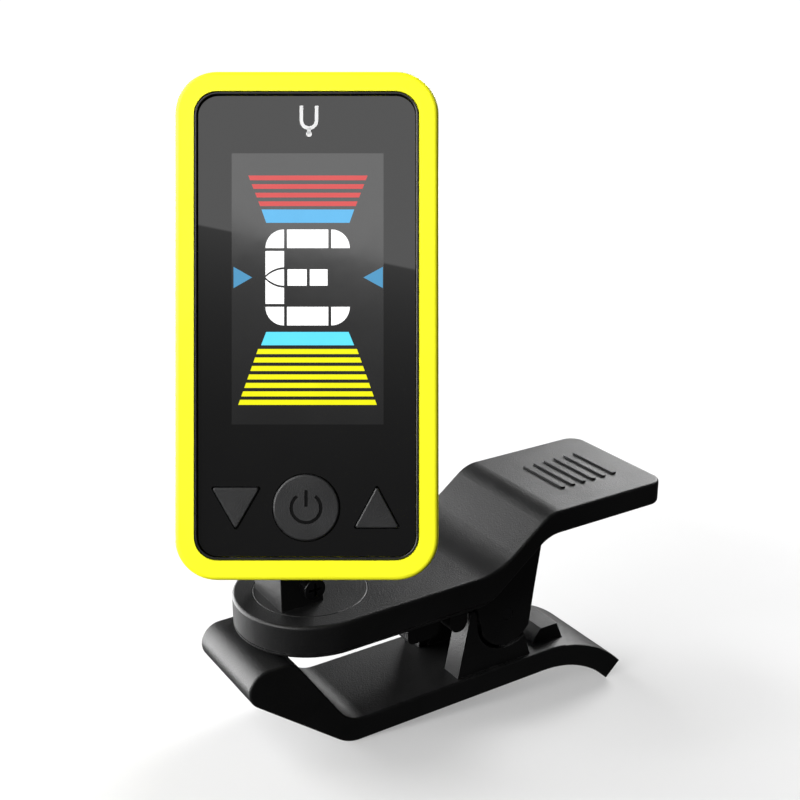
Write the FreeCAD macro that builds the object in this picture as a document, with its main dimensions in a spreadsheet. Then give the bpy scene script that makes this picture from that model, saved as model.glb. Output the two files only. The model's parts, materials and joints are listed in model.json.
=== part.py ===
import FreeCAD, Part
import math
import os
import re
import Sketcher

# Clip on tuner: a sprung jaw that bites a headstock, a turntable and ball joint on the upper
# jaw, and a slim display head.  All sizes are millimetres.
#
# Three frames are used.
#   clip  X along the clip towards the thumb pad, Y across it, Z up out of the upper jaw; the
#         turntable turns about the line x = y = 0.
#   head  centre of the ball joint; X to the right of the screen, Y into the head, Z up it.
#   row   the clip set down on its keel and its tail, as it stands on a table.

SIZES = {
    # stance on the table
    "shift_along": -14.709,
    "shift_across": 1.148,
    # lower jaw
    "jaw_half": 7.4,
    "strip_top": -10.18,
    "strip_under": -13.56,
    "strip_edge": 0.3,
    "keel_along": 3.15,
    "keel_round": 5.2,
    "nose_round": 2.72,
    "nose_along": -10.05,
    "nose_height": -1.15,
    "tail_along": 34.3,
    "tail_bend": 20.4,
    "tail_turn": 47.2,
    "rib_half": 4.7,
    "rib_front": 34.2,
    "rib_back": 40.0,
    "rib_top": -8.15,
    "horn_inner": 3.4,
    # hinge of the two jaws
    "pin_along": 27.86,
    "pin_height": -2.37,
    "pin_radius": 0.9,
    "pin_fit": 0.04,
    "ear_outer": 6.66,
    "ear_gap": 4.4,
    "fork_outer": 4.2,
    "fork_inner": 3.0,
    "ear_round": 4.75,
    "saddle_round": 5.35,
    "wire": 0.8,
    "coil_mean": 1.95,
    "coil_turns": 5,
    "upper_leg_angle": 55.0,
    "upper_leg": 12.2,
    "lower_leg_angle": -43.0,
    "lower_leg": 8.4,
    # upper jaw
    "arm_half": 10.25,
    "arm_top": 6.96,
    "arm_under": 2.45,
    "groove_height": 3.05,
    "groove_deep": 0.16,
    "ramp_angle": 38.0,
    "ramp_round": 5.2,
    "foot_round": 9.5,
    "ramp_start": 21.72,
    "thumb_end": 53.2,
    "thumb_top": 13.65,
    "thumb_under": 10.18,
    "thumb_corner": 2.6,
    "soft_edge": 0.45,
    "stop_front": 12.3,
    "stop_back": 17.6,
    "stop_half": 4.4,
    "stop_under": -3.8,
    "bar_front": 18.05,
    "bar_back": 20.8,
    "bar_under": -2.6,
    "grip_under": 2.05,
    "grip_radius": 9.2,
    "thumb_bars": 6,
    "thumb_bar_pitch": 1.9,
    "thumb_bar_middle": 43.6,
    "thumb_bar_proud": 0.28,
    # turntable
    "table_radius": 7.6,
    "table_fit": 0.06,
    "table_thick": 1.4,
    "hub_radius": 4.0,
    "well_radius": 5.9,
    "well_top": 4.5,
    "post_front": -6.2,
    "post_back": -0.14,
    "post_half": 3.85,
    "clamp_along": -2.12,
    "clamp_height": 9.8,
    "clamp_radius": 0.85,
    "clamp_head": 1.5,
    "clamp_head_thick": 1.6,
    "nut_thick": 1.3,
    "slit_half": 0.25,
    "washer_radius": 5.2,
    "washer_thick": 0.5,
    "table_screw": 1.0,
    # ball joint
    "ball_along": 0.98,
    "ball_height": 17.0,
    "ball_radius": 3.0,
    "liner_radius": 3.6,
    "socket_wall": 0.85,
    "ball_fit": 0.05,
    "socket_rise": 1.3,
    "liner_rise": 1.0,
    "stem_radius": 1.6,
    "stem_end": 12.5,
    "flange_radius": 2.2,
    "flange_low": 7.7,
    "flange_high": 8.4,
    "boss_radius": 3.4,
    "boss_low": 6.4,
    "boss_high": 16.0,
    # head
    "head_yaw": 32.4,
    "head_lean": 20.41,
    "front": -14.76,
    "depth": 9.4,
    "centre_up": 23.91,
    "half_wide": 15.6,
    "half_tall": 30.05,
    "corner": 5.0,
    "window_wide": 13.3,
    "window_tall": 27.7,
    "window_corner": 2.8,
    "front_edge": 0.55,
    "back_edge": 1.3,
    "rim_wall": 0.35,
    "rim_fit": 0.05,
    "rim_sink": 0.15,
    "ledge_thick": 0.75,
    "lens_sink": 0.7,
    "lens_thick": 1.0,
    "shell_wall": 1.5,
    "seam": 5.1,
    "back_wall": 1.1,
    "cell_radius": 10.0,
    "cell_thick": 3.2,
    "cell_up": 31.5,
    "door_wide": 10.9,
    "door_tall": 11.6,
    "door_fit": 0.15,
    "key_proud": 0.3,
    "key_deep": 2.4,
    "key_fit": 0.12,
    "power_radius": 3.95,
    "power_along": -0.08,
    "keys_below": 21.6,
    "down_key_along": -8.4,
    "up_key_along": 8.3,
    "up_key_rise": 0.2,
    "down_key_half": 2.88,
    "up_key_half": 2.67,
    "key_half_tall": 2.5,
    "flange_grow": 0.35,
    "board_front": 4.0,
    "board_thick": 0.8,
    "screw_across": 11.6,
    "screw_up": 26.4,
    "screw_radius": 0.6,
    "boss_post": 1.7,
}

doc = FreeCAD.newDocument("clip_on_tuner")
sheet = doc.addObject("Spreadsheet::Sheet", "Sizes")
for row, (name, value) in enumerate(SIZES.items(), start=1):
    sheet.set(f"A{row}", name)
    sheet.set(f"B{row}", str(value))
    sheet.setAlias(f"B{row}", name)
doc.recompute()


def size(name):
    """A driving size as it stands in the sheet."""
    return float(sheet.get(name))


def cells(text):
    """An expression over the sheet's aliases, in the form that setExpression takes."""
    return re.sub(r"[a-z_]+[a-z_0-9]*", lambda found: "Sizes." + found.group(0), text)


def worth(text):
    """The value of a sum or difference of aliases and plain numbers."""
    total = 0.0
    for sign, term in re.findall(r"([+-]?)\s*([a-z_0-9.*]+)", text):
        product = 1.0
        for factor in term.split("*"):
            product *= size(factor) if factor[0].isalpha() else float(factor)
        total += -product if sign == "-" else product
    return total


# ---------------------------------------------------------------- frames

def stance():
    """Placement that sets the clip down on its keel and the end of its tail."""
    turn = math.radians(size("tail_turn"))
    inner_bend = size("tail_bend") - (size("strip_top") - size("strip_under"))
    tail_x = size("tail_along") + inner_bend * math.sin(turn)
    tail_z = size("strip_top") - size("tail_bend") + inner_bend * math.cos(turn)
    keel_x = size("keel_along")
    keel_z = size("strip_under") + size("keel_round")
    span = math.hypot(tail_x - keel_x, keel_z - tail_z)
    drop = math.atan2(keel_z - tail_z, tail_x - keel_x)
    tilt = drop - math.asin(size("keel_round") / span)
    rotation = FreeCAD.Rotation(FreeCAD.Vector(0, 1, 0), -math.degrees(tilt))
    foot = rotation.multVec(FreeCAD.Vector(tail_x, 0, tail_z))
    shift = FreeCAD.Vector(size("shift_along"), size("shift_across"), -foot.z)
    return FreeCAD.Placement(shift, rotation)


CLIP = stance()
BALL = FreeCAD.Vector(size("ball_along"), 0, size("ball_height"))
LEAN = FreeCAD.Rotation(FreeCAD.Vector(1, 0, 0), -size("head_lean"))
YAW = FreeCAD.Rotation(FreeCAD.Vector(0, 0, 1), -size("head_yaw"))
HEAD = CLIP.multiply(FreeCAD.Placement(BALL, YAW.multiply(LEAN)))
STEM_IN_HEAD = LEAN.inverted()
FRONT = size("front")
UP = size("centre_up")
parts = []


def keep(piece, label, frame):
    """Name a finished sub-part and set it in the row frame."""
    piece.Label = label
    piece.Placement = frame
    parts.append(piece)
    return piece


# ---------------------------------------------------------------- sketch helpers

ROLES = {"XY": "XY_Plane", "XZ": "XZ_Plane", "YZ": "YZ_Plane"}


def new_body(name):
    return doc.addObject("PartDesign::Body", name)


def new_sketch(body, plane, height):
    """A sketch parallel to one of the body's origin planes; height is an expression."""
    sketch = body.newObject("Sketcher::SketchObject", "Outline")
    role = ROLES[plane]
    base = next(item for item in body.Origin.OriginFeatures if item.Role == role)
    sketch.AttachmentSupport = (base, "")
    sketch.MapMode = "FlatFace"
    sketch.setExpression("AttachmentOffset.Base.z", cells(height))
    return sketch


def point(x, y):
    return FreeCAD.Vector(x, y, 0)


def rounded(corners):
    """Lines and tangent arcs round a closed outline of (x, y, radius) corners."""
    entries = []
    count = len(corners)
    for index, (x, y, radius) in enumerate(corners):
        here = point(x, y)
        before = point(*corners[index - 1][:2])
        after = point(*corners[(index + 1) % count][:2])
        if radius == 0:
            entries.append((here, None, here))
            continue
        back = (before - here).normalize()
        ahead = (after - here).normalize()
        half = back.getAngle(ahead) / 2
        reach = radius / math.tan(half)
        middle = (back + ahead).normalize()
        nearest = here + middle * (radius / math.sin(half) - radius)
        entries.append((here + back * reach, nearest, here + ahead * reach))
    return entries


def draw(sketch, entries):
    """Draw the outline that rounded() or a list of (start, middle, end) gives."""
    count = len(entries)
    for index, (start, middle, end) in enumerate(entries):
        if middle is not None:
            sketch.addGeometry(Part.Arc(start, middle, end))
        following = entries[(index + 1) % count][0]
        if end.distanceToPoint(following) > 1e-6:
            sketch.addGeometry(Part.LineSegment(end, following))


def box_corners(x_low, x_high, y_low, y_high, radius=0.0):
    return [(x_low, y_low, radius), (x_high, y_low, radius),
            (x_high, y_high, radius), (x_low, y_high, radius)]


def raise_or_cut(body, plane, drawing, low, high, cut):
    """Pad or pocket a drawing between two heights along the plane's row axis."""
    if plane == "XZ":
        height = f"0 - ({low})" if cut else f"0 - ({high})"
    else:
        height = high if cut else low
    sketch = new_sketch(body, plane, height)
    drawing(sketch)
    kind = "Pocket" if cut else "Pad"
    volume = body.Shape.Volume if cut else 0.0
    feature = body.newObject("PartDesign::" + kind, kind)
    feature.Profile = sketch
    feature.setExpression("Length", cells(f"({high}) - ({low})"))
    doc.recompute()
    if cut and body.Shape.Volume > volume - 1e-4:
        raise RuntimeError(f"{body.Name}: a pocket from {low} to {high} cut nothing")
    return feature


def slab(body, plane, corners, low, high, cut=False, hole=None):
    """A flat piece of material, or a pocket, with a rounded outline and maybe a hole."""
    def drawing(sketch):
        draw(sketch, rounded(corners))
        if hole:
            draw(sketch, rounded(hole))
    return raise_or_cut(body, plane, drawing, low, high, cut)


def curve(body, plane, entries, low, high, cut=False):
    """The same for an outline given as (start, middle, end) entries."""
    return raise_or_cut(body, plane, lambda sketch: draw(sketch, entries), low, high, cut)


def disc(body, plane, centres, radius, low, high, cut=False):
    """Round material or holes; radius is an expression bound to the sheet."""
    def drawing(sketch):
        for x, y in centres:
            circle = Part.Circle(point(x, y), point(0, 0) + FreeCAD.Vector(0, 0, 1), worth(radius))
            number = sketch.addGeometry(circle)
            constraint = Sketcher.Constraint("Radius", number, worth(radius))
            bound = sketch.addConstraint(constraint)
            sketch.setExpression(f"Constraints[{bound}]", cells(radius))
    return raise_or_cut(body, plane, drawing, low, high, cut)


def soften(body, radius, test):
    """Fillet every edge of the body's last feature that the test picks."""
    doc.recompute()
    base = body.Tip
    names = [f"Edge{number}" for number, edge in enumerate(base.Shape.Edges, start=1) if test(edge)]
    fillet = body.newObject("PartDesign::Fillet", "Fillet")
    fillet.Base = (base, names)
    fillet.setExpression("Radius", cells(radius))
    doc.recompute()
    return fillet


def at_height(edge, height, axis="z"):
    """True for an edge that lies in one plane across the axis."""
    box = edge.BoundBox
    low = getattr(box, axis.upper() + "Min")
    high = getattr(box, axis.upper() + "Max")
    return abs(low - height) < 1e-4 and abs(high - height) < 1e-4


def primitive(kind, name, placement=None, **expressions):
    """A Part primitive whose sizes are bound to the sheet."""
    solid = doc.addObject("Part::" + kind, name)
    for prop, text in expressions.items():
        if re.search("[a-z]", text):
            solid.setExpression(prop, cells(text))
        else:
            setattr(solid, prop, float(text))
    if placement:
        solid.Placement = placement
    return solid


def combine(kind, name, base, tool):
    """Part::Cut, Part::Fuse or Part::Common of two objects."""
    result = doc.addObject("Part::" + kind, name)
    result.Base = base
    result.Tool = tool
    doc.recompute()
    return result


def moved(x=0.0, y=0.0, z=0.0, rotation=None):
    return FreeCAD.Placement(FreeCAD.Vector(x, y, z), rotation or FreeCAD.Rotation())


ALONG_Y = FreeCAD.Rotation(FreeCAD.Vector(1, 0, 0), -90)


# ---------------------------------------------------------------- lower jaw

PIN = (size("pin_along"), size("pin_height"))


def jaw_section():
    """Side outline of the lower jaw: bulb nose, keel, straight strip and curled tail."""
    top = size("strip_top")
    under = size("strip_under")
    nose = point(size("nose_along"), size("nose_height"))
    nose_r = size("nose_round")
    keel_r = size("keel_round")
    keel = point(size("keel_along"), under + keel_r)
    # outer face of the nose: the common tangent of the nose's round and the keel's
    apart = (keel - nose).Length
    heading = math.atan2(keel.y - nose.y, keel.x - nose.x)
    away = heading - math.pi / 2 - math.asin((keel_r - nose_r) / apart)
    outward = point(math.cos(away), math.sin(away))
    nose_foot = nose + outward * nose_r
    keel_start = keel + outward * keel_r
    middle_angle = (away - math.pi / 2) / 2
    keel_middle = keel + point(math.cos(middle_angle), math.sin(middle_angle)) * keel_r
    keel_end = keel - point(0, keel_r)
    # curled tail: two arcs about one centre
    bend = size("tail_bend")
    inner = bend - (top - under)
    turn = math.radians(size("tail_turn"))
    hub = point(size("tail_along"), top - bend)

    def on_tail(radius, angle):
        return hub + point(math.sin(angle), math.cos(angle)) * radius

    # inner face: a straight slope with a round at its top and a wide one at its foot
    slope = rounded([(40.0, top, 0), (1.54, top, 4.3), (-6.41, nose.y + nose_r, 3.0),
                     (-14.0, nose.y + nose_r, 0)])
    foot, brow = slope[1], slope[2]
    side = point(-1, 0) * nose_r + nose
    return [
        (nose + point(0, nose_r), nose + point(-1, 1).normalize() * nose_r, side),
        (side, nose + (point(-1, 0) + outward).normalize() * nose_r, nose_foot),
        (keel_start, keel_middle, keel_end),
        (on_tail(inner, 0), on_tail(inner, turn / 2), on_tail(inner, turn)),
        (on_tail(bend, turn), on_tail(bend, turn / 2), on_tail(bend, 0)),
        foot,
        brow,
    ]


def lower_jaw():
    body = new_body("LowerJaw")
    curve(body, "XZ", jaw_section(), "0 - jaw_half", "jaw_half")
    soften(body, "strip_edge", lambda edge: at_height(edge, size("jaw_half"), "y")
           or at_height(edge, -size("jaw_half"), "y"))
    root = size("strip_top") - 0.5
    x, z = PIN
    saddle = size("saddle_round")
    horn_front = point(21.45, -0.4)
    horn_back = point(22.15, -0.4)
    saddle_front = point(x - saddle * math.cos(0.35), z - saddle * math.sin(0.35))
    saddle_low = point(x, z - saddle)
    saddle_back = point(x + saddle * math.sin(0.62), z - saddle * math.cos(0.62))
    horn = [
        (point(19.3, root), None, point(19.3, root)),
        (horn_front, None, horn_front),
        (horn_back, None, horn_back),
        (saddle_front, saddle_low, saddle_back),
        (point(32.3, root), None, point(32.3, root)),
    ]
    fork_round = 3.3
    fork = [
        (point(20.6, root), None, point(20.6, root)),
        (point(x - fork_round * 0.94, z + 1.1), point(x, z + fork_round),
         point(x + fork_round * 0.94, z + 1.1)),
        (point(32.3, root), None, point(32.3, root)),
    ]
    for low, high in (("horn_inner", "ear_outer"), ("0 - ear_outer", "0 - horn_inner")):
        curve(body, "XZ", horn, low, high)
    for low, high in (("fork_inner", "fork_outer"), ("0 - fork_outer", "0 - fork_inner")):
        curve(body, "XZ", fork, low, high)
    # cross rib behind the hinge, hollowed on its front face
    front, back, rib_top = size("rib_front"), size("rib_back"), size("rib_top")
    foot, brow = point(front, root), point(front + 1.5, rib_top)
    rib = [
        (foot, point(front + 0.4, (root + rib_top) / 2), brow),
        (point(back - 1.4, rib_top), None, point(back - 1.4, rib_top)),
        (point(back, rib_top - 3.3), None, point(back, rib_top - 3.3)),
    ]
    curve(body, "XZ", rib, "0 - rib_half", "rib_half")
    disc(body, "XZ", [PIN], "pin_radius + pin_fit", "0 - ear_outer", "ear_outer", cut=True)
    return keep(body, "lower_jaw", CLIP)


# ---------------------------------------------------------------- upper jaw

def arm_section():
    """Side outline of the upper jaw: flat arm, ramp and raised thumb pad."""
    angle = math.radians(size("ramp_angle"))
    slope = math.tan(angle)
    round_r = size("ramp_round")
    top = size("arm_top")
    thumb = size("thumb_top")
    start = size("ramp_start")
    foot_x = start + round_r * math.tan(angle / 2)
    head_x = foot_x + (thumb - top) / slope
    under_head_x = head_x - 0.05
    under_foot_x = under_head_x - (size("thumb_under") - size("arm_under")) / slope
    end = size("thumb_end")
    nose = -size("arm_half") - 1
    return rounded([
        (nose, size("arm_under"), 0), (under_foot_x, size("arm_under"), round_r),
        (under_head_x, size("thumb_under"), round_r), (end, size("thumb_under"), 0.5),
        (end, thumb, 0.5), (head_x, thumb, round_r), (foot_x, top, size("foot_round")),
        (nose, top, 0),
    ])


def arm_plan(half, end):
    """Plan outline: a round nose about the turntable and a thumb pad with soft corners."""
    corner = size("thumb_corner")
    tail = rounded([(0, -half, 0), (end, -half, corner), (end, half, corner), (0, half, 0)])
    nose = (point(0, half), point(-half, 0), point(0, -half))
    return [tail[1], tail[2], nose]


def upper_arm():
    body = new_body("UpperArm")
    curve(body, "XZ", arm_section(), "0 - arm_half - 1", "arm_half + 1")

    def outside(half, end):
        """Everything round a plan outline, to be cut away."""
        def drawing(sketch):
            draw(sketch, rounded(box_corners(-20, 70, -20, 20)))
            draw(sketch, arm_plan(half, end))
        return drawing

    half, end = size("arm_half"), size("thumb_end")
    raise_or_cut(body, "XY", outside(half, end + 0.02), "0", "20", True)
    soften(body, "soft_edge", on_arm_rim)
    # parting groove a little above the lower rim
    raise_or_cut(body, "XY", outside(half - size("groove_deep"), end + 1),
                 "groove_height - 0.08", "groove_height + 0.08", True)
    # ears that carry the hinge pin
    x, z = PIN
    ear_r = size("ear_round")
    ear = [
        (point(21.3, 5.2), None, point(21.3, 5.2)),
        (point(x - ear_r * 0.866, z - ear_r * 0.5), point(x, z - ear_r),
         point(x + ear_r * 0.80, z - ear_r * 0.6)),
        (point(32.4, 0.2), None, point(32.4, 0.2)),
        (point(34.0, 10.8), None, point(34.0, 10.8)),
        (point(30.2, 10.4), None, point(30.2, 10.4)),
        (point(24.5, 5.9), None, point(24.5, 5.9)),
    ]
    for low, high in (("ear_gap", "ear_outer"), ("0 - ear_outer", "0 - ear_gap")):
        curve(body, "XZ", ear, low, high)
    disc(body, "XZ", [PIN], "pin_radius", "0 - ear_outer", "ear_outer", cut=True)
    # stop that meets the edge of the headstock, and a cross bar that stiffens the arm
    seat = size("arm_under") + 0.6
    stop = [(size("stop_front"), seat, 0), (size("stop_front") + 0.3, size("stop_under"), 1.0),
            (size("stop_back"), size("stop_under") + 0.1, 1.4), (size("stop_back") + 1.0, seat, 0)]
    slab(body, "XZ", stop, "0 - stop_half", "stop_half")
    cross_bar = [(size("bar_front"), seat, 0), (size("bar_front"), size("bar_under"), 1.3),
                 (size("bar_back"), size("bar_under"), 1.3), (size("bar_back"), seat, 0)]
    slab(body, "XZ", cross_bar, "0 - ear_outer", "ear_outer")
    # seat of the turntable and the well for the screw that holds it
    disc(body, "XY", [(0, 0)], "table_radius + table_fit", "arm_top - table_thick - 0.05",
         "arm_top + 1", cut=True)
    disc(body, "XY", [(0, 0)], "hub_radius + table_fit", "arm_under - 1", "arm_top", cut=True)
    disc(body, "XY", [(0, 0)], "well_radius", "arm_under - 1", "well_top", cut=True)
    # plain cross bars that keep the thumb from slipping
    pitch = size("thumb_bar_pitch")
    count = int(size("thumb_bars"))
    first = size("thumb_bar_middle") - pitch * (count - 1) / 2
    for index in range(count):
        x = first + pitch * index
        bar = box_corners(x - 0.4, x + 0.4, -4.6, 4.6, 0.38)
        slab(body, "XY", bar, "thumb_top - 0.1", "thumb_top + thumb_bar_proud")
    return keep(body, "upper_arm", CLIP)


def on_arm_rim(edge):
    """Edges round the upper and lower rims of the arm's plan outline."""
    half = size("arm_half")
    middle = edge.valueAt((edge.FirstParameter + edge.LastParameter) / 2)
    box = edge.BoundBox
    if box.YMax - box.YMin < 1e-4 and abs(abs(middle.y) - half) < 1e-4:
        return box.XLength > 0.5
    round_nose = abs(math.hypot(middle.x, middle.y) - half) < 1e-3 and middle.x < 0
    return round_nose and box.ZLength < 1e-4


# ---------------------------------------------------------------- hinge and grip pieces

def grip_pad():
    """Rubber disc that presses on the headstock; it also closes the screw's well."""
    body = new_body("GripPad")
    disc(body, "XY", [(0, 0)], "grip_radius", "grip_under", "arm_under")
    soften(body, "0.2", lambda edge: at_height(edge, size("grip_under")))
    return keep(body, "grip_pad", CLIP)


def pivot_pin():
    body = new_body("PivotPin")
    disc(body, "XZ", [PIN], "pin_radius", "0.02 - ear_outer", "ear_outer - 0.02")
    soften(body, "0.15", lambda edge: at_height(edge, size("ear_outer") - 0.02, "y")
           or at_height(edge, 0.02 - size("ear_outer"), "y"))
    return keep(body, "pivot_pin", CLIP)


def rod(start, direction, length, radius):
    return Part.makeCylinder(radius, length, start, direction)


def torsion_spring():
    """Coil round the hinge pin; one leg lifts the thumb pad, the other stands on the strip."""
    mean = size("coil_mean")
    wire = size("wire") / 2
    upper = size("upper_leg_angle") + 90
    lower = size("lower_leg_angle") - 90
    turns = size("coil_turns") + (lower - upper) % 360 / 360
    pitch = size("wire") + 0.1
    length = pitch * turns
    helix = Part.makeHelix(pitch, length, mean)
    profile = Part.makeCircle(wire, FreeCAD.Vector(mean, 0, 0), FreeCAD.Vector(0, 1, 0))
    coil = Part.Wire(helix.Edges).makePipeShell([Part.Wire([profile])], True, True)
    # each leg leaves the coil along its tangent
    last = math.radians(360 * turns)
    start = FreeCAD.Vector(mean, 0, 0)
    end = FreeCAD.Vector(mean * math.cos(last), mean * math.sin(last), length)
    back = FreeCAD.Vector(0, -1, 0)
    ahead = FreeCAD.Vector(-math.sin(last), math.cos(last), 0)
    legs = [rod(start, back, size("upper_leg"), wire), rod(end, ahead, size("lower_leg"), wire)]
    spring = doc.addObject("Part::Feature", "TorsionSpring")
    spring.Shape = coil.fuse(legs)
    centred = moved(z=-length / 2)
    across = moved(rotation=FreeCAD.Rotation(FreeCAD.Vector(1, 0, 0), 90))
    turned = moved(PIN[0], 0, PIN[1], FreeCAD.Rotation(FreeCAD.Vector(0, 1, 0), -upper))
    frame = CLIP.multiply(turned).multiply(across).multiply(centred)
    return keep(spring, "torsion_spring", frame)


# ---------------------------------------------------------------- turntable and ball joint

def turntable_post():
    body = new_body("TurntablePost")
    ball_x = size("ball_along")
    ball_z = size("ball_height")
    top = size("arm_top")
    disc(body, "XY", [(0, 0)], "table_radius", "arm_top - table_thick", "arm_top")
    soften(body, "0.15", lambda edge: at_height(edge, top))
    disc(body, "XY", [(0, 0)], "hub_radius", "well_top - 0.06", "arm_top - 0.5")
    front = size("post_front")
    back = size("post_back")
    post = [(front, top - 0.3, 0), (back, top - 0.3, 0), (back, 11.6, 0.8),
            (ball_x + 3.4, ball_z - 2.6, 1.0), (ball_x + 3.4, ball_z + 0.8, 0),
            (ball_x - 3.4, ball_z + 0.8, 0), (ball_x - 3.8, 14.2, 1.0), (front, 12.0, 0.8)]
    slab(body, "XZ", post, "0 - post_half", "post_half")
    soften(body, "0.1", lambda edge: post_edge(edge, top))
    doc.recompute()
    # round socket on the post, opened at its top and bored for the liner
    shell = primitive("Sphere", "SocketShell", moved(ball_x, 0, ball_z),
                      Radius="liner_radius + ball_fit + socket_wall")
    solid = combine("Fuse", "SocketOnPost", body, shell)
    lid = primitive("Box", "SocketMouth", moved(-20, -20, ball_z + size("socket_rise")),
                    Length="40", Width="40", Height="20")
    solid = combine("Cut", "SocketOpened", solid, lid)
    hollow = primitive("Sphere", "SocketHollow", moved(ball_x, 0, ball_z),
                       Radius="liner_radius + ball_fit")
    solid = combine("Cut", "SocketBored", solid, hollow)
    # slit that lets the clamp screw tighten the socket on the ball
    slit = primitive("Box", "ClampSlit", moved(front + 1.8, -size("slit_half"), 8.2),
                     Length="20", Width="2 * slit_half", Height="20")
    solid = combine("Cut", "SocketSlit", solid, slit)
    bore = primitive("Cylinder", "ClampBore",
                     moved(size("clamp_along"), -10, size("clamp_height"), ALONG_Y),
                     Radius="clamp_radius + 0.05", Height="20")
    solid = combine("Cut", "PostBored", solid, bore)
    pilot = primitive("Cylinder", "TableScrewHole", moved(0, 0, 0),
                      Radius="table_screw", Height="6.6")
    solid = combine("Cut", "PostDrilled", solid, pilot)
    return keep(solid, "turntable_post", CLIP)


def post_edge(edge, top):
    """Upright corners of the post's lower block."""
    box = edge.BoundBox
    corner = abs(abs(edge.valueAt(edge.FirstParameter).y) - size("post_half")) < 1e-4
    return corner and box.YLength < 1e-4 and box.ZMax > top + 0.2


def turntable_washer():
    body = new_body("TurntableWasher")
    disc(body, "XY", [(0, 0)], "washer_radius", "well_top - 0.06 - washer_thick",
         "well_top - 0.06")
    disc(body, "XY", [(0, 0)], "table_screw", "well_top - 1", "well_top", cut=True)
    return keep(body, "turntable_washer", CLIP)


def cross_slot(body, plane, x, y, low, high, reach=0.75, half=0.16):
    """Cross-shaped driver recess."""
    slab(body, plane, box_corners(x - reach, x + reach, y - half, y + half), low, high, cut=True)
    slab(body, plane, box_corners(x - half, x + half, y - reach, y + reach), low, high, cut=True)


def turntable_screw():
    body = new_body("TurntableScrew")
    seat = "well_top - 0.06 - washer_thick"
    disc(body, "XY", [(0, 0)], "1.9", f"{seat} - 0.9", seat)
    soften(body, "0.3", lambda edge: at_height(edge, worth(f"{seat} - 0.9")))
    disc(body, "XY", [(0, 0)], "table_screw", f"{seat} - 0.1", "6.5")
    cross_slot(body, "XY", 0, 0, f"{seat} - 1", f"{seat} - 0.4")
    return keep(body, "turntable_screw", CLIP)


def clamp_screw():
    """Pan head screw across the post that sets the ball joint's friction."""
    body = new_body("ClampScrew")
    centre = (size("clamp_along"), size("clamp_height"))
    face = "0 - post_half - clamp_head_thick"
    disc(body, "XZ", [centre], "clamp_head", face, "0 - post_half")
    soften(body, "0.12", lambda edge: at_height(edge, worth(face), "y"))
    disc(body, "XZ", [centre], "clamp_radius", "0 - post_half - 0.1",
         "post_half + nut_thick + 0.3")
    cross_slot(body, "XZ", *centre, face + " - 0.1", face + " + 0.6", 0.95, 0.2)
    return keep(body, "clamp_screw", CLIP)


def clamp_nut():
    body = new_body("ClampNut")
    x, z = size("clamp_along"), size("clamp_height")
    ring = [(x + 1.8 * math.cos(math.radians(60 * step)),
             z + 1.8 * math.sin(math.radians(60 * step)), 0.15) for step in range(6)]
    slab(body, "XZ", ring, "post_half", "post_half + nut_thick")
    disc(body, "XZ", [(x, z)], "clamp_radius", "post_half - 1", "post_half + 3", cut=True)
    return keep(body, "clamp_nut", CLIP)


def socket_liner():
    """Thin cup between the socket and the ball."""
    centre = moved(0, 0, 0)
    outside = primitive("Sphere", "LinerOutside", centre, Radius="liner_radius")
    inside = primitive("Sphere", "LinerInside", centre, Radius="ball_radius + ball_fit")
    cup = combine("Cut", "LinerCup", outside, inside)
    lid = primitive("Box", "LinerMouth", moved(-10, -10, size("liner_rise")),
                    Length="20", Width="20", Height="20")
    cup = combine("Cut", "LinerOpened", cup, lid)
    return keep(cup, "socket_liner", CLIP.multiply(moved(BALL.x, BALL.y, BALL.z)))


def ball_stem():
    """Ball with the stem that the head turns on."""
    ball = primitive("Sphere", "Ball", moved(0, 0, 0), Radius="ball_radius")
    shank = primitive("Cylinder", "Shank", moved(0, 0, 1), Radius="stem_radius",
                      Height="stem_end - 1")
    flange = primitive("Cylinder", "Flange", moved(0, 0, size("flange_low")),
                       Radius="flange_radius", Height="flange_high - flange_low")
    stem = combine("Fuse", "BallOnShank", ball, shank)
    stem = combine("Fuse", "BallStem", stem, flange)
    return keep(stem, "ball_stem", CLIP.multiply(moved(BALL.x, BALL.y, BALL.z)))


def stem_collar():
    """Ring pressed into the boss under the stem's flange."""
    ring = primitive("Cylinder", "CollarRing", moved(0, 0, size("boss_low")),
                     Radius="flange_radius + 0.1", Height="flange_low - boss_low - 0.05")
    bore = primitive("Cylinder", "CollarBore", moved(0, 0, size("boss_low") - 1),
                     Radius="stem_radius + ball_fit", Height="5")
    ring = combine("Cut", "StemCollar", ring, bore)
    return keep(ring, "stem_collar", HEAD.multiply(moved(rotation=STEM_IN_HEAD)))


# ---------------------------------------------------------------- head

def face(wide, tall, radius, up=0.0, across=0.0):
    """Rounded rectangle on the head, given by its half sizes."""
    return box_corners(across - wide, across + wide, UP + up - tall, UP + up + tall, radius)


SCREWS = [(side * size("screw_across"), UP + end * size("screw_up"))
          for side in (-1, 1) for end in (-1, 1)]


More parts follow.
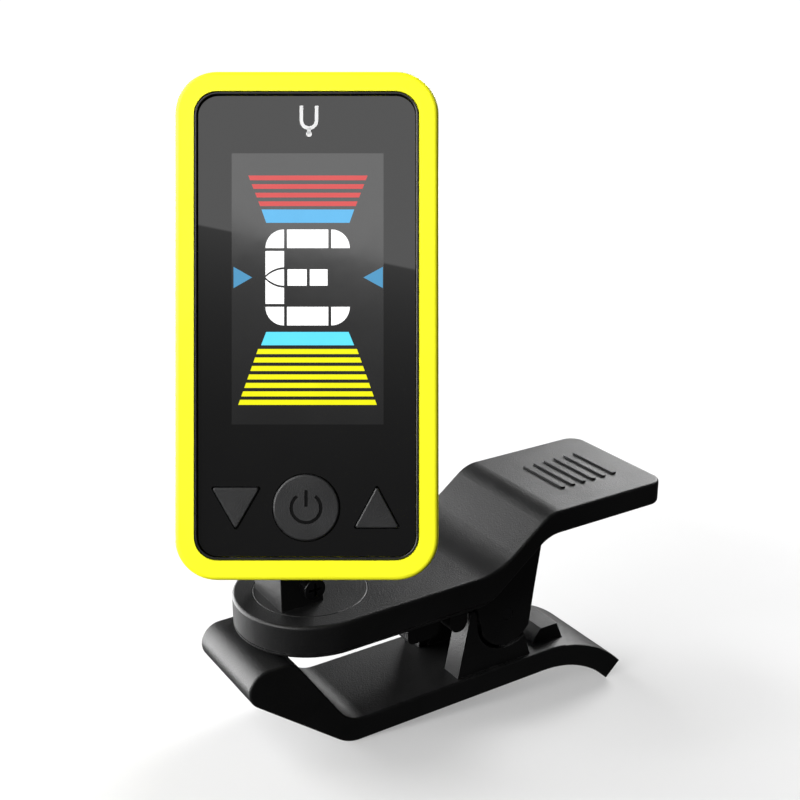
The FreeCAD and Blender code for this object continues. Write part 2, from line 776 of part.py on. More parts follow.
def bezel_frame():
    body = new_body("BezelFrame")
    wide, tall = size("half_wide"), size("half_tall")
    slab(body, "XZ", face(wide, tall, size("corner")), "front", "front + seam")
    soften(body, "front_edge", lambda edge: at_height(edge, FRONT, "y"))
    window = face(size("window_wide"), size("window_tall"), size("window_corner"))
    seat = "front + lens_sink + lens_thick"
    slab(body, "XZ", window, "front - 1", seat, cut=True)
    ledge = face(size("window_wide") - 1.1, size("window_tall") - 1.2, 2.0)
    slab(body, "XZ", ledge, "front", f"{seat} + ledge_thick", cut=True)
    wall = size("shell_wall")
    room = face(wide - wall, tall - wall, size("corner") - wall)
    slab(body, "XZ", room, f"{seat} + ledge_thick", "front + seam + 1", cut=True)
    for place in SCREWS:
        disc(body, "XZ", [place], "boss_post", f"{seat} + ledge_thick - 0.4", "front + seam")
    disc(body, "XZ", SCREWS, "screw_radius", f"{seat} + ledge_thick + 0.5",
         "front + seam + 1", cut=True)
    return keep(body, "bezel_frame", HEAD)


def window_rim():
    """Black lining of the bezel's opening; the lens sits inside it."""
    body = new_body("WindowRim")
    wide, tall, corner = size("window_wide"), size("window_tall"), size("window_corner")
    fit, wall = size("rim_fit"), size("rim_wall")
    slab(body, "XZ", face(wide - fit, tall - fit, corner - fit), "front + rim_sink",
         "front + lens_sink + lens_thick", hole=face(wide - wall, tall - wall, corner - wall))
    soften(body, "0.1", lambda edge: at_height(edge, FRONT + size("rim_sink"), "y"))
    return keep(body, "window_rim", HEAD)


def key_outlines(grow=0.0):
    """Outlines of the two triangular keys, point down on the left and up on the right."""
    middle = UP - size("keys_below")
    base = size("key_half_tall") + grow
    tip = size("key_half_tall") + grow * 2.1
    soft = 0.25
    x = size("down_key_along")
    wide = size("down_key_half") + grow * 1.75
    down = [(x - wide, middle + base, soft), (x, middle - tip, soft),
            (x + wide, middle + base, soft)]
    x = size("up_key_along")
    wide = size("up_key_half") + grow * 1.75
    middle += size("up_key_rise")
    up = [(x - wide, middle - base, soft), (x + wide, middle - base, soft), (x, middle + tip, soft)]
    return down, up


POWER = (size("power_along"), UP - size("keys_below") + 0.1)


def lens_window():
    body = new_body("LensWindow")
    inset = size("rim_wall") + 2 * size("rim_fit")
    outline = face(size("window_wide") - inset, size("window_tall") - inset,
                   size("window_corner") - inset)
    slab(body, "XZ", outline, "front + lens_sink", "front + lens_sink + lens_thick")
    for hole in key_outlines(size("key_fit")):
        slab(body, "XZ", hole, "front", "front + 3", cut=True)
    disc(body, "XZ", [POWER], "power_radius + key_fit", "front", "front + 3", cut=True)
    return keep(body, "lens_window", HEAD)


def keys():
    """Three sprung keys, each with a hidden flange that the lens holds in."""
    top = "front + lens_sink - key_proud"
    shelf = "front + lens_sink + lens_thick + 0.05"
    deep = "front + key_deep"
    caps = key_outlines()
    flanges = key_outlines(size("flange_grow"))
    for label, cap, flange in zip(("down_key", "up_key"), caps, flanges):
        body = new_body(label.title().replace("_", ""))
        slab(body, "XZ", cap, top, deep)
        soften(body, "0.18", lambda edge: at_height(edge, worth(top), "y"))
        slab(body, "XZ", flange, shelf, deep)
        keep(body, label, HEAD)
    body = new_body("PowerKey")
    disc(body, "XZ", [POWER], "power_radius", top, deep)
    soften(body, "0.25", lambda edge: at_height(edge, worth(top), "y"))
    disc(body, "XZ", [POWER], "power_radius + 0.5", shelf, deep)
    # power sign sunk in the cap: a broken ring with an upright bar
    x, z = POWER
    start, end = math.radians(128), math.radians(412)
    outer, inner = 1.95, 1.55

    def around(radius, angle):
        return point(x + radius * math.cos(angle), z + radius * math.sin(angle))

    middle = (start + end) / 2
    ring = [(around(outer, start), around(outer, middle), around(outer, end)),
            (around(inner, end), around(inner, middle), around(inner, start))]
    curve(body, "XZ", ring, "front - 1", f"{top} + 0.14", cut=True)
    slab(body, "XZ", box_corners(x - 0.2, x + 0.2, z + 0.1, z + 2.1, 0.1), "front - 1",
         f"{top} + 0.14", cut=True)
    keep(body, "power_key", HEAD)


def plate(label, outline, low, high):
    """A plain flat piece inside the head."""
    body = new_body(label.title().replace("_", ""))
    slab(body, "XZ", outline, low, high)
    return keep(body, label, HEAD)


def display_pieces():
    glass = "front + lens_sink + lens_thick + 0.05"
    plate("lcd_panel", face(9.4, 17.4, 0.3, up=4.4), glass, f"{glass} + 1.1")
    plate("backlight", face(9.2, 17.0, 0.3, up=4.4), f"{glass} + 1.15", f"{glass} + 2.1")
    plate("lcd_flex", box_corners(-6, 6, UP - 13.5, UP - 13.25), f"{glass} + 0.3",
          "front + board_front")
    # a lamp on each side of the light guide, both standing on the main board
    lamps = []
    for x in (-10.7, 9.7):
        corner = FreeCAD.Vector(x, FRONT + size("board_front") - 1.2, UP + 3.0)
        lamps.append(Part.makeBox(1.0, 1.2, 2.6, corner))
    pair = doc.addObject("Part::Feature", "BacklightLeds")
    pair.Shape = Part.makeCompound(lamps)
    keep(pair, "backlight_leds", HEAD)


def electronics():
    body = new_body("MainBoard")
    slab(body, "XZ", face(13.4, 27.8, 3.0), "front + board_front",
         "front + board_front + board_thick")
    disc(body, "XZ", SCREWS, "boss_post + 0.2", "front + board_front - 1",
         "front + board_front + board_thick + 1", cut=True)
    keep(body, "main_board", HEAD)
    behind = "front + board_front + board_thick"
    plate("controller_chip", face(2.6, 2.6, 0.0, up=-18.6, across=-5.4), behind, f"{behind} + 0.9")
    plate("crystal_can", face(1.6, 0.8, 0.5, up=-22.2, across=4.6), behind, f"{behind} + 0.9")
    plate("negative_contact", face(3.4, 3.4, 0.8, up=size("cell_up") - UP), behind,
          f"{behind} + 0.22")
    plate("positive_contact", box_corners(10.08, 10.4, size("cell_up") - 4, size("cell_up") + 4),
          behind, "front + depth - back_wall - 0.3")
    body = new_body("CoinCell")
    centre = [(0, size("cell_up"))]
    disc(body, "XZ", centre, "cell_radius", f"{behind} + 0.6", f"{behind} + 0.25 + cell_thick")
    soften(body, "0.3", lambda edge: at_height(edge, worth(f"{behind} + 0.25 + cell_thick"), "y"))
    disc(body, "XZ", centre, "cell_radius - 1.3", f"{behind} + 0.25", f"{behind} + 0.7")
    keep(body, "coin_cell", HEAD)
    body = new_body("PickupDisc")
    disc(body, "XZ", [(0, 6.2)], "4.6", "front + depth - back_wall - 0.5",
         "front + depth - back_wall - 0.02")
    keep(body, "pickup_disc", HEAD)


def tact_switches():
    """Three small switches behind the keys, as separate solids of one node."""
    solids = []
    middle = UP - size("keys_below")
    for x, z in ((size("down_key_along"), middle), POWER, (size("up_key_along"), middle)):
        case = Part.makeBox(3.4, 1.0, 3.4, FreeCAD.Vector(x - 1.7, 0, z - 1.7))
        nub = Part.makeCylinder(0.9, 0.3, FreeCAD.Vector(x, -0.15, z), FreeCAD.Vector(0, 1, 0))
        solid = case.fuse(nub).removeSplitter()
        solid.translate(FreeCAD.Vector(0, FRONT + size("board_front") - 1.0, 0))
        solids.append(solid)
    switches = doc.addObject("Part::Feature", "TactSwitches")
    switches.Shape = Part.makeCompound(solids)
    return keep(switches, "tact_switches", HEAD)


def stem_place(along):
    """Placement on the stem's line in the head frame, a distance from the ball's centre."""
    start = STEM_IN_HEAD.multVec(FreeCAD.Vector(0, 0, along))
    return FreeCAD.Placement(start, STEM_IN_HEAD)


def rear_cover():
    body = new_body("RearCover")
    wide, tall = size("half_wide") - 0.25, size("half_tall") - 0.25
    back = FRONT + size("depth")
    slab(body, "XZ", face(wide, tall, size("corner") - 0.25), "front + seam", "front + depth")
    soften(body, "back_edge", lambda edge: at_height(edge, back, "y"))
    wall = size("shell_wall")
    room = face(wide - wall, tall - wall, size("corner") - wall)
    slab(body, "XZ", room, "front + seam - 1", "front + depth - back_wall", cut=True)
    for place in SCREWS:
        disc(body, "XZ", [place], "boss_post", "front + seam", "front + depth - 0.3")
    disc(body, "XZ", SCREWS, "screw_radius + 0.1", "front + seam - 1", "front + depth", cut=True)
    disc(body, "XZ", SCREWS, "screw_radius + 0.65", "front + depth - 1", "front + depth + 1",
         cut=True)
    fit = size("door_fit")
    opening = face(size("door_wide") + fit, size("door_tall") + fit, 2.0 + fit,
                   up=size("cell_up") - UP)
    slab(body, "XZ", opening, "front + depth - back_wall - 1", "front + depth + 1", cut=True)
    doc.recompute()
    # boss for the stem, cut off level with the inside of the back wall
    boss = primitive("Cylinder", "StemBoss", stem_place(size("boss_low")),
                     Radius="boss_radius", Height="boss_high - boss_low")
    inside = back - size("back_wall") + 0.1
    keep_out = primitive("Box", "BossRoom", moved(-10, inside - 6, -5), Length="20",
                         Width="6", Height="40")
    boss = combine("Cut", "BossTrimmed", boss, keep_out)
    cover = combine("Fuse", "CoverWithBoss", body, boss)
    bore = primitive("Cylinder", "StemBore", stem_place(0), Radius="stem_radius + ball_fit",
                     Height="stem_end + 0.1")
    cover = combine("Cut", "CoverBored", cover, bore)
    mouth = primitive("Cylinder", "CollarSeat", stem_place(0), Radius="flange_radius + 0.1",
                      Height="flange_high + 0.05")
    cover = combine("Cut", "RearCoverDone", cover, mouth)
    return keep(cover, "rear_cover", HEAD)


def battery_door():
    body = new_body("BatteryDoor")
    up = size("cell_up") - UP
    slab(body, "XZ", face(size("door_wide"), size("door_tall"), 2.0, up=up),
         "front + depth - back_wall + 0.05", "front + depth - 0.05")
    for step in range(4):
        rise = up - size("door_tall") + 2.2 + 1.1 * step
        slab(body, "XZ", face(4.5 - 0.6 * step, 0.25, 0.2, up=rise), "front + depth - 0.2",
             "front + depth + 0.25")
    return keep(body, "battery_door", HEAD)


def case_screws():
    solids = []
    for x, z in SCREWS:
        start = FreeCAD.Vector(x, FRONT + size("seam") - 1.6, z)
        into = FreeCAD.Vector(0, 1, 0)
        shank = Part.makeCylinder(size("screw_radius"), size("depth") - size("seam") + 0.7,
                                  start, into)
        seat = FreeCAD.Vector(x, FRONT + size("depth") - 1.0, z)
        head = Part.makeCylinder(size("screw_radius") + 0.55, 0.85, seat, into)
        slot = Part.makeBox(1.3, 0.5, 0.24, FreeCAD.Vector(x - 0.65, seat.y + 0.5, z - 0.12))
        cross = Part.makeBox(0.24, 0.5, 1.3, FreeCAD.Vector(x - 0.12, seat.y + 0.5, z - 0.65))
        solids.append(shank.fuse(head).cut(slot).cut(cross).removeSplitter())
    screws = doc.addObject("Part::Feature", "CaseScrews")
    screws.Shape = Part.makeCompound(solids)
    return keep(screws, "case_screws", HEAD)


# ---------------------------------------------------------------- export

def main():
    for build in (lower_jaw, upper_arm, grip_pad, pivot_pin, torsion_spring, turntable_post,
                  turntable_washer, turntable_screw, clamp_screw, clamp_nut, socket_liner,
                  ball_stem, stem_collar, bezel_frame, window_rim, lens_window, keys, display_pieces,
                  electronics, tact_switches, rear_cover, battery_door, case_screws):
        build()
    doc.recompute()
    for item in doc.Objects:
        if "Invalid" in item.State or "Error" in item.State:
            raise RuntimeError(f"{item.Label} failed: {item.State}")
    os.makedirs("parts", exist_ok=True)
    for piece in parts:
        shape = piece.Shape
        if shape.isNull() or not shape.isValid():
            raise RuntimeError(f"{piece.Label} has no valid shape")
        box = shape.BoundBox
        print(piece.Label, len(shape.Solids), round(shape.Volume, 2), "low", round(box.ZMin, 2))
        shape.exportStep(f"parts/{piece.Label}.step")
    whole = Part.makeCompound([piece.Shape for piece in parts]).BoundBox
    print("row box", whole)


main()
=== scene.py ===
import json
import math

import bmesh
import bpy
from mathutils import Matrix, Vector


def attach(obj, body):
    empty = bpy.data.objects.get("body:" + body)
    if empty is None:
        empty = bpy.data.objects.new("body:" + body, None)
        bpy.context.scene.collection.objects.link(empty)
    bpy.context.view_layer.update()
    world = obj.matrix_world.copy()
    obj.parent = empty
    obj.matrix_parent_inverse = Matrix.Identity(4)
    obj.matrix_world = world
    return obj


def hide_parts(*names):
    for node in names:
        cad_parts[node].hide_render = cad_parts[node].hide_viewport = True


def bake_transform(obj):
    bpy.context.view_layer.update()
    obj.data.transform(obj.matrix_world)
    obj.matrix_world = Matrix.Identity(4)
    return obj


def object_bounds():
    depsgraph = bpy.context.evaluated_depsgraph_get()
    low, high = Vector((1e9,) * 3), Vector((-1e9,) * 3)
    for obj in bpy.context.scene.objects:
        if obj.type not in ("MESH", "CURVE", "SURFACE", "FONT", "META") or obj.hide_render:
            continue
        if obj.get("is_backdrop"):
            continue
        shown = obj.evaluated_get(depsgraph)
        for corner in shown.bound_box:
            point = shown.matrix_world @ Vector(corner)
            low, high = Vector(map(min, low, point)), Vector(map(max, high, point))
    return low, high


# Looks of the clip on tuner.  The CAD nodes keep their shapes and get procedural materials.
# The jaw spring, the lit display, the printed icon and the dark plate of painted shade in the power sign's groove
# are pieces here.
# Local sizes are millimetres, in frames read from the imported joints; Blender works in metres.

MM = 0.001
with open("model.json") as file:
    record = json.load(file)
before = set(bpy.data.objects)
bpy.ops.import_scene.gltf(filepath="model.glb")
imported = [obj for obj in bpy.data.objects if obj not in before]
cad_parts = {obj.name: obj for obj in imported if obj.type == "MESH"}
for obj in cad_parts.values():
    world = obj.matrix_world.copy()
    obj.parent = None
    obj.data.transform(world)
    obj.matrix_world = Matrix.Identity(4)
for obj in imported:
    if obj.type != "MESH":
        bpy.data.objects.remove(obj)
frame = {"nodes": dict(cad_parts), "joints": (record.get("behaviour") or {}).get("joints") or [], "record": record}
cad_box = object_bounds()
JOINTS = {joint["name"]: joint for joint in frame["joints"]}
NODES = frame["nodes"]


# ---------------------------------------------------------------- frames

def axis_of(joint):
    return Vector(JOINTS[joint]["axis"]).normalized()


def place_of(joint):
    return Vector(JOINTS[joint]["pos_m"])


def local_frame(x_axis, y_axis, z_axis, origin):
    """Matrix from millimetres along three axes to metres in the row frame."""
    turn = Matrix((x_axis, y_axis, z_axis)).transposed().to_4x4()
    return Matrix.Translation(origin) @ turn @ Matrix.Scale(MM, 4)


CLIP_Z = axis_of("turntable_swivel")
CLIP_Y = axis_of("jaw_hinge")
CLIP_X = CLIP_Y.cross(CLIP_Z)
CLIP = local_frame(CLIP_X, CLIP_Y, CLIP_Z, place_of("turntable_swivel"))

HEAD_X = axis_of("ball_nod")
HEAD_Y = axis_of("power_key_press")
HEAD_Z = HEAD_X.cross(HEAD_Y)
BALL = local_frame(HEAD_X, HEAD_Y, HEAD_Z, place_of("ball_nod"))


def extent(node, matrix):
    """Lowest and highest corner of a CAD node in a local frame, in millimetres."""
    back = matrix.inverted()
    points = [back @ vertex.co for vertex in NODES[node].data.vertices]
    low = Vector([min(point[axis] for point in points) for axis in range(3)])
    high = Vector([max(point[axis] for point in points) for axis in range(3)])
    return low, high


LENS_LOW, LENS_HIGH = extent("lens_window", BALL)
LENS_MIDDLE = (LENS_LOW + LENS_HIGH) / 2
LENS_MIDDLE.y = LENS_LOW.y
# middle of the lens's front face: X right, Y into the head, Z up the screen
SCREEN = BALL @ Matrix.Translation(LENS_MIDDLE)
# the display's own middle is a little to the right of the lens's
DISPLAY = SCREEN @ Matrix.Translation(Vector((0.25, 0, 0)))


# ---------------------------------------------------------------- objects

def link(thing):
    bpy.context.scene.collection.objects.link(thing)
    return thing


def solid(name, mesh, material):
    """Turn a finished bmesh into an object with one material."""
    bmesh.ops.recalc_face_normals(mesh, faces=mesh.faces)
    data = bpy.data.meshes.new(name)
    mesh.to_mesh(data)
    mesh.free()
    data.materials.append(material)
    return link(bpy.data.objects.new(name, data))


# ---------------------------------------------------------------- materials

BEVEL_SAMPLES = 4
BEVEL_FADE = 0.86           # cosine of the turn at which an edge gets its full lighter tone, partly rubbed wear and partly a painted edge highlight


def socket(node, name):
    return node.inputs[name]


def new_material(name):
    """A material with only its output and shader, and with it its tree and its shader."""
    material = bpy.data.materials.new(name)
    material.use_nodes = True
    tree = material.node_tree
    shader = tree.nodes["Principled BSDF"]
    return material, tree, shader


def add_node(tree, kind, **properties):
    """A node with its properties set by name."""
    node = tree.nodes.new(kind)
    for name, value in properties.items():
        setattr(node, name, value)
    return node


def set_inputs(node, values):
    """Give unlinked inputs their values by name."""
    for name, value in values.items():
        socket(node, name).default_value = value


def noise(tree, feature_mm, detail=3.0):
    """Noise whose features are about this many millimetres across."""
    place = add_node(tree, "ShaderNodeTexCoord")
    node = add_node(tree, "ShaderNodeTexNoise")
    set_inputs(node, {"Scale": 1 / (feature_mm * MM), "Detail": detail, "Roughness": 0.6})
    tree.links.new(place.outputs["Object"], socket(node, "Vector"))
    return node.outputs["Fac"]


def ramp(tree, value, low, high, at_low=0.0, at_high=1.0):
    """Map a value from one range to another, held at both ends."""
    node = add_node(tree, "ShaderNodeMapRange")
    node.clamp = True
    set_inputs(node, {"From Min": low, "From Max": high, "To Min": at_low, "To Max": at_high})
    tree.links.new(value, socket(node, "Value"))
    return node.outputs["Result"]


def blend_colour(tree, factor, first, second):
    """Mix two colours; either may be a plain colour or a link."""
    node = add_node(tree, "ShaderNodeMix", data_type="RGBA")
    # a mix node keeps its number, vector and colour sockets side by side under the same names,
    # so the factor and the two colours are reached by their places
    tree.links.new(factor, node.inputs[0])
    for place, colour in ((6, first), (7, second)):
        if isinstance(colour, tuple):
            node.inputs[place].default_value = (*colour, 1.0)
        else:
            tree.links.new(colour, node.inputs[place])
    return node.outputs[2]


def edge_mask(tree, reach_mm):
    """White on convex edges: where a bevelled normal leaves the true one."""
    bevel = add_node(tree, "ShaderNodeBevel", samples=BEVEL_SAMPLES)
    socket(bevel, "Radius").default_value = reach_mm * MM
    true = add_node(tree, "ShaderNodeNewGeometry")
    dot = add_node(tree, "ShaderNodeVectorMath", operation="DOT_PRODUCT")
    tree.links.new(bevel.outputs["Normal"], dot.inputs[0])
    tree.links.new(true.outputs["Normal"], dot.inputs[1])
    return ramp(tree, dot.outputs["Value"], 1.0, BEVEL_FADE)


def relief(tree, shader, height, strength, depth_mm, before=None):
    """Bump on the shader, laid over an earlier bump if there is one."""
    bump = add_node(tree, "ShaderNodeBump")
    set_inputs(bump, {"Strength": strength, "Distance": depth_mm * MM})
    tree.links.new(height, socket(bump, "Height"))
    if before:
        tree.links.new(before, socket(bump, "Normal"))
    tree.links.new(bump.outputs["Normal"], socket(shader, "Normal"))
    return bump.outputs["Normal"]


def rubbed_and_highlit_edge(colour):
    """Colour of a lighter edge, partly rubbed wear and partly a painted edge highlight: dark plastic turns greyer,
    light plastic brighter.
    """
    if max(colour) < 0.3:
        return tuple(channel + (0.32 - channel) * 0.25 for channel in colour)
    return tuple(min(1.0, channel * 1.15) for channel in colour)


def plastic(name, colour, roughness, grain_mm, grain, spread=0.3, edge_wear_and_highlight=0.35, level=0.5):
    """Moulded plastic: fine grain, blotches of sheen and slightly lighter edges, partly rubbed wear and partly a
    painted edge highlight.
    Spread is how far the tint strays, the edge amount how much the edges are lightened, level the specular level."""
    material, tree, shader = new_material(name)
    cloud = noise(tree, 9.0)
    speck = noise(tree, grain_mm, detail=2.0)
    dark = tuple(channel * (1 - spread) for channel in colour)
    light = tuple(min(1.0, channel * (1 + spread)) for channel in colour)
    tint = blend_colour(tree, ramp(tree, cloud, 0.3, 0.7), dark, light)
    speckled = blend_colour(tree, ramp(tree, speck, 0.35, 0.75, 0.0, 0.5), tint, light)
    # edges lightened in patches: partly rubbed wear, partly a painted edge highlight
    scuffs = noise(tree, 1.3, detail=5.0)
    edge_lightening = add_node(tree, "ShaderNodeMath", operation="MULTIPLY")
    tree.links.new(edge_mask(tree, 0.35), edge_lightening.inputs[0])
    tree.links.new(ramp(tree, scuffs, 0.42, 0.62, 0.0, edge_wear_and_highlight), edge_lightening.inputs[1])
    edged = blend_colour(tree, edge_lightening.outputs[0], speckled, rubbed_and_highlit_edge(colour))
    tree.links.new(edged, socket(shader, "Base Color"))
    tree.links.new(ramp(tree, cloud, 0.25, 0.75, roughness - 0.05, roughness + 0.06),
                   socket(shader, "Roughness"))
    socket(shader, "Specular IOR Level").default_value = level
    first = relief(tree, shader, speck, grain, 0.05)
    relief(tree, shader, cloud, 0.04, 0.3, before=first)
    return material


def metal(name, colour, roughness):
    """Turned or stamped metal: fine streaks, stains and brighter edges, partly polished wear and partly a painted
    edge highlight.
    """
    streak_wide, streak_long = 0.05, 2.0
    material, tree, shader = new_material(name)
    place = add_node(tree, "ShaderNodeTexCoord")
    stretch = add_node(tree, "ShaderNodeMapping")
    socket(stretch, "Scale").default_value = (1.0, streak_wide / streak_long, 1.0)
    streaks = add_node(tree, "ShaderNodeTexNoise")
    socket(streaks, "Scale").default_value = 1 / (streak_wide * MM)
    tree.links.new(place.outputs["Object"], socket(stretch, "Vector"))
    tree.links.new(stretch.outputs["Vector"], socket(streaks, "Vector"))
    cloud = noise(tree, 2.5, detail=4.0)
    dull = tuple(channel * 0.72 for channel in colour)
    polished_and_highlit_edge = tuple(min(1.0, channel * 1.25 + 0.04) for channel in colour)
    tint = blend_colour(tree, ramp(tree, cloud, 0.3, 0.7), dull, colour)
    # brighter edges: partly polished wear, partly a painted edge highlight
    edged = blend_colour(tree, edge_mask(tree, 0.15), tint, polished_and_highlit_edge)
    tree.links.new(edged, socket(shader, "Base Color"))
    socket(shader, "Metallic").default_value = 1.0
    tree.links.new(ramp(tree, streaks.outputs["Fac"], 0.3, 0.7, roughness - 0.08, roughness + 0.1),
                   socket(shader, "Roughness"))
    relief(tree, shader, streaks.outputs["Fac"], 0.125, 0.01)
    return material


def lens_material():
    """Polished smoked acrylic: almost black, with faint dust and smear in its sheen."""
    material, tree, shader = new_material("lens")
    smear = noise(tree, 14.0, detail=4.0)
    dust = noise(tree, 0.35, detail=1.0)
    clean, smeared = (0.0012, 0.0012, 0.0013), (0.0022, 0.0022, 0.0023)
    dust_colour = (0.016, 0.016, 0.016)
    tint = blend_colour(tree, ramp(tree, smear, 0.3, 0.7), clean, smeared)
    dusty = blend_colour(tree, ramp(tree, dust, 0.72, 0.82, 0.0, 0.3), tint, dust_colour)
    tree.links.new(dusty, socket(shader, "Base Color"))
    tree.links.new(ramp(tree, smear, 0.3, 0.7, 0.008, 0.03), socket(shader, "Roughness"))
    socket(shader, "Specular IOR Level").default_value = 0.5
    relief(tree, shader, smear, 0.01, 0.05)
    return material


def lit(name, colour, strength, body):
    """A lit display segment behind glass: even glow with a faint pixel grain.
    The body is the share of the colour that it keeps as plain paint."""
    material, tree, shader = new_material(name)
    grain = noise(tree, 0.12, detail=1.0)
    cloud = noise(tree, 5.0)
    low = tuple(channel * 0.93 for channel in colour)
    glow = blend_colour(tree, ramp(tree, cloud, 0.3, 0.7), low, colour)
    fine = blend_colour(tree, ramp(tree, grain, 0.4, 0.8, 0.0, 0.35), glow, low)
    tree.links.new(fine, socket(shader, "Emission Color"))
    socket(shader, "Emission Strength").default_value = strength
    unlit = blend_colour(tree, cloud, tuple(channel * body for channel in low),
                         tuple(channel * body for channel in colour))
    tree.links.new(unlit, socket(shader, "Base Color"))
    set_inputs(shader, {"Roughness": 0.25, "Specular IOR Level": 0.3})
    relief(tree, shader, grain, 0.02, 0.01)
    return material


def board_material():
    """Green solder mask with copper tracks showing as a faint pattern."""
    material, tree, shader = new_material("circuit_board")
    place = add_node(tree, "ShaderNodeTexCoord")
    tracks = add_node(tree, "ShaderNodeTexBrick")
    set_inputs(tracks, {"Scale": 1 / (2.2 * MM), "Mortar Size": 0.04})
    tree.links.new(place.outputs["Object"], socket(tracks, "Vector"))
    cloud = noise(tree, 3.0)
    base = blend_colour(tree, cloud, (0.010, 0.085, 0.035), (0.018, 0.14, 0.055))
    traced = blend_colour(tree, tracks.outputs["Fac"], base, (0.03, 0.22, 0.09))
    tree.links.new(traced, socket(shader, "Base Color"))
    tree.links.new(ramp(tree, cloud, 0.3, 0.7, 0.25, 0.4), socket(shader, "Roughness"))
    relief(tree, shader, tracks.outputs["Fac"], 0.3, 0.03)
    return material


BLACK = (0.0055, 0.0055, 0.0057)
MATERIALS = {
    "black_nylon": plastic("black_nylon", BLACK, 0.44, 0.22, 0.75, edge_wear_and_highlight=0.2, level=0.28),
    "grip_rubber": plastic("grip_rubber", (0.022, 0.022, 0.022), 0.8, 0.4, 0.4, edge_wear_and_highlight=0.1,
                           level=0.3),
    "steel": metal("steel", (0.50, 0.51, 0.53), 0.32),
    "black_steel": metal("black_steel", (0.055, 0.055, 0.058), 0.34),
    "liner_plastic": plastic("liner_plastic", (0.55, 0.55, 0.50), 0.5, 0.5, 0.1, spread=0.08),
    "joint_plastic": plastic("joint_plastic", BLACK, 0.26, 0.6, 0.06, edge_wear_and_highlight=0.1),
    "yellow_plastic": plastic("yellow_plastic", (0.95, 0.94, 0.018), 0.36, 0.5, 0.03, spread=0.03,
                              edge_wear_and_highlight=0.2, level=0.25),
    "lens": lens_material(),
    "lcd": plastic("lcd", (0.02, 0.02, 0.022), 0.15, 0.3, 0.02, edge_wear_and_highlight=0.0),
    "light_guide": plastic("light_guide", (0.75, 0.78, 0.80), 0.2, 0.7, 0.03, spread=0.05,
                           edge_wear_and_highlight=0.0),
    "flex_film": plastic("flex_film", (0.45, 0.20, 0.04), 0.35, 0.5, 0.05, edge_wear_and_highlight=0.1),
    "chip_black": plastic("chip_black", (0.02, 0.02, 0.02), 0.6, 0.12, 0.3, edge_wear_and_highlight=0.2),
    "key_plastic": plastic("key_plastic", (0.013, 0.013, 0.0135), 0.42, 0.16, 0.5, edge_wear_and_highlight=0.15,
                           level=0.35),
    "switch_metal": metal("switch_metal", (0.62, 0.61, 0.58), 0.3),
    "circuit_board": board_material(),
    "contact_metal": metal("contact_metal", (0.66, 0.62, 0.55), 0.25),
    "cell_steel": metal("cell_steel", (0.60, 0.61, 0.62), 0.28),
    "pickup_brass": metal("pickup_brass", (0.70, 0.50, 0.20), 0.3),
    "black_shell": plastic("black_shell", BLACK, 0.45, 0.3, 0.26, edge_wear_and_highlight=0.2, level=0.3),
}

for part in frame["record"]["subparts"]:
    mesh = NODES[part["node"]].data
    mesh.materials.clear()
    mesh.materials.append(MATERIALS[part["material_slot"]])


# ---------------------------------------------------------------- meshes

def arc(centre, radius, start, end, steps=8):
    """Points on an arc, angles in degrees."""
    points = []
    for index in range(steps + 1):
        angle = math.radians(start + (end - start) * index / steps)
        points.append((centre[0] + radius * math.cos(angle), centre[1] + radius * math.sin(angle)))
    return points


def bar(left, right, low, high):
    """Outline of an upright rectangle."""
    return [(left, low), (right, low), (right, high), (left, high)]


def trapezoid(top, bottom, high, low):
    """Outline between two horizontal edges given as (left, right)."""
    return [(bottom[0], low), (bottom[1], low), (top[1], high), (top[0], high)]


def plates(name, outlines, matrix, front, thick, material):
    """Thin flat pieces; outlines are counter-clockwise (u, v) lists seen from the front."""
    mesh = bmesh.new()
    for outline in outlines:
        near = [mesh.verts.new(matrix @ Vector((u, front, v))) for u, v in outline]
        far = [mesh.verts.new(matrix @ Vector((u, front + thick, v))) for u, v in outline]
        mesh.faces.new(near)
        mesh.faces.new(far[::-1])
        count = len(outline)
        for index in range(count):
            after = (index + 1) % count
            mesh.faces.new((near[index], far[index], far[after], near[after]))
    return solid(name, mesh, material)


def on_head(thing):
    """A piece of the screen head."""
    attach(thing, "head")


def tube(name, points, radius, matrix, material, sides=12):
    """A round wire along a path of points, closed at both ends."""
    mesh = bmesh.new()
    rings = []
    normal = Vector((0, 0, 1))
    for index, point in enumerate(points):
        before, after = points[max(index - 1, 0)], points[min(index + 1, len(points) - 1)]
        along = (after - before).normalized()
        normal = (normal - along * normal.dot(along)).normalized()
        side = along.cross(normal)
        ring = []
        for step in range(sides):
            angle = 2 * math.pi * step / sides
            offset = normal * math.cos(angle) + side * math.sin(angle)
            ring.append(mesh.verts.new(matrix @ (point + offset * radius)))
        rings.append(ring)
    for first, second in zip(rings, rings[1:]):
        for step in range(sides):
            after = (step + 1) % sides
            mesh.faces.new((first[step], first[after], second[after], second[step]))
    mesh.faces.new(rings[0][::-1])
    mesh.faces.new(rings[-1])
    for face in mesh.faces:
        face.smooth = len(face.verts) == 4
    return solid(name, mesh, material)


# ---------------------------------------------------------------- spring

